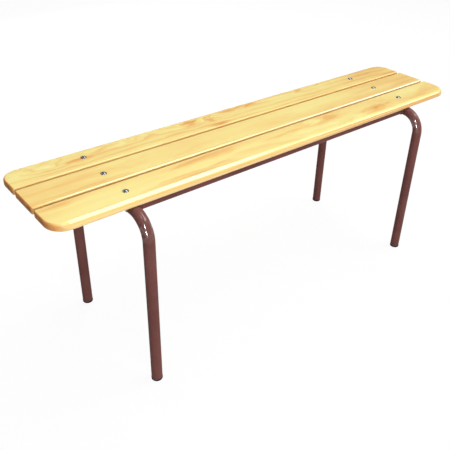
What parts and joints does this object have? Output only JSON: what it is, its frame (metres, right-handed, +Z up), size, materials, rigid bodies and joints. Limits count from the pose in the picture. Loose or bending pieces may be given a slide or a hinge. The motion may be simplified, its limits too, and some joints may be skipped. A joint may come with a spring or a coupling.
{
  "type": "stacking bench",
  "caption": "Long stacking bench: a slatted pine seat with rounded corners, bolted onto bent round-tube leg frames that straight rails tie together.",
  "frame": {"origin": "on the floor, at the middle of the bench's length and depth", "axes": "+X along the seat, +Y to the rear, +Z up"},
  "size_m": [1.2, 0.3598, 0.458],
  "materials": {
    "slat_wood": "clear varnished pine",
    "frame_paint": "glossy brown paint on steel tube",
    "bolt_steel": "bright zinc plate",
    "glide_plastic": "black moulded plastic"
  },
  "bodies": {
    "root": {"bolt_front_left": "bolt_steel", "bolt_front_right": "bolt_steel", "bolt_middle_left": "bolt_steel", "bolt_middle_right": "bolt_steel", "bolt_rear_left": "bolt_steel", "bolt_rear_right": "bolt_steel", "foot_glide_front_left": "glide_plastic", "foot_glide_front_right": "glide_plastic", "foot_glide_rear_left": "glide_plastic", "foot_glide_rear_right": "glide_plastic", "leg_frame_left": "frame_paint", "leg_frame_right": "frame_paint", "nut_front_left": "bolt_steel", "nut_front_right": "bolt_steel", "nut_middle_left": "bolt_steel", "nut_middle_right": "bolt_steel", "nut_rear_left": "bolt_steel", "nut_rear_right": "bolt_steel", "rail_front": "frame_paint", "rail_rear": "frame_paint", "slat_front": "slat_wood", "slat_middle": "slat_wood", "slat_rear": "slat_wood", "washer_front_left": "bolt_steel", "washer_front_right": "bolt_steel", "washer_middle_left": "bolt_steel", "washer_middle_right": "bolt_steel", "washer_rear_left": "bolt_steel", "washer_rear_right": "bolt_steel", "weld_bead_front_left": "frame_paint", "weld_bead_front_right": "frame_paint", "weld_bead_rear_left": "frame_paint", "weld_bead_rear_right": "frame_paint"}
  },
  "joints": []
}
